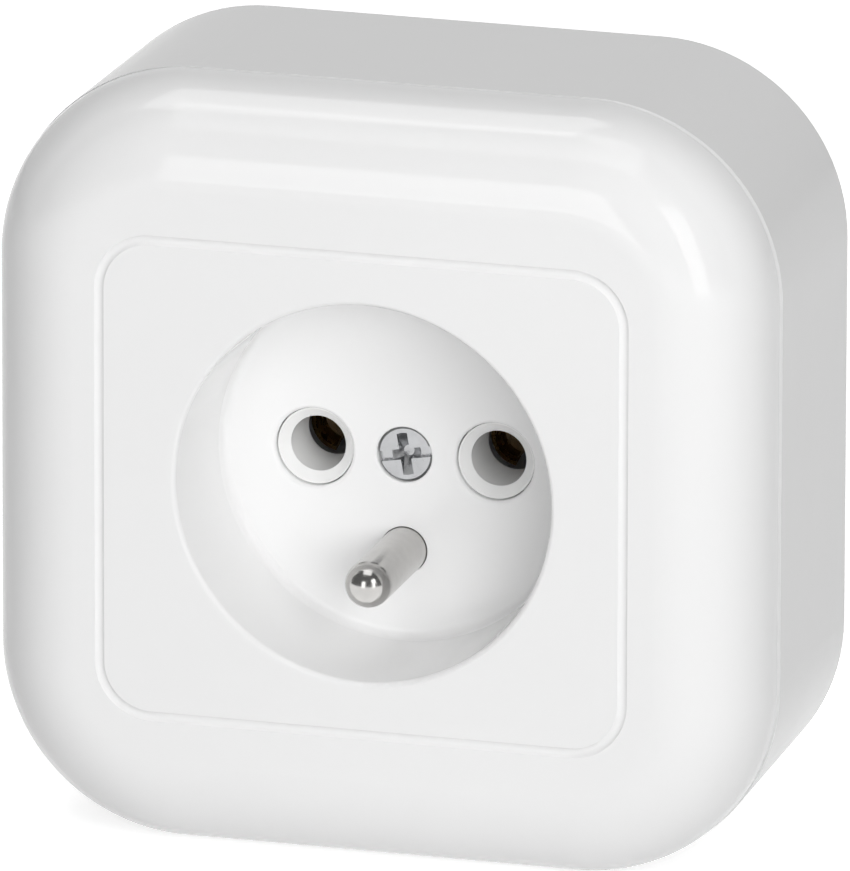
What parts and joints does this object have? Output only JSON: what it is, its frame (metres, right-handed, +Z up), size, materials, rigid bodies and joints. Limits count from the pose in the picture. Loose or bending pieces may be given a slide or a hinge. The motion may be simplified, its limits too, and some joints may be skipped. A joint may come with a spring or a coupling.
{
  "type": "power socket",
  "caption": "White surface-mounted single power socket with a round plug recess, sleeved contacts, a male earth pin and a deep square back box.",
  "frame": {"origin": "middle of the flat wall face of the back box", "axes": "+Y into the wall, so the plug recess faces -Y; +X to the right seen from the front; +Z up"},
  "size_m": [0.0812, 0.0375, 0.0802],
  "materials": {
    "cover_plastic": "gloss",
    "box_plastic": "satin gloss",
    "insert_plastic": "satin gloss",
    "contact_brass": "as rolled",
    "terminal_brass": "machined",
    "spring_steel": "bright",
    "nickel_pin": "nickel plated",
    "zinc_screw": "zinc plated"
  },
  "bodies": {
    "root": {"back_box": "box_plastic", "front_cover": "cover_plastic", "insert_base": "insert_plastic", "insert_front": "insert_plastic", "line_contact": "contact_brass", "neutral_contact": "contact_brass", "line_contact_clip": "spring_steel", "neutral_contact_clip": "spring_steel", "line_terminal": "terminal_brass", "neutral_terminal": "terminal_brass", "earth_terminal": "terminal_brass", "line_terminal_screw": "zinc_screw", "neutral_terminal_screw": "zinc_screw", "earth_terminal_screw": "zinc_screw", "earth_strap": "contact_brass", "earth_pin": "nickel_pin", "cover_screw": "zinc_screw", "insert_fixing_screw_left": "zinc_screw", "insert_fixing_screw_right": "zinc_screw", "insert_closing_screw_left": "zinc_screw", "insert_closing_screw_right": "zinc_screw"}
  },
  "joints": []
}
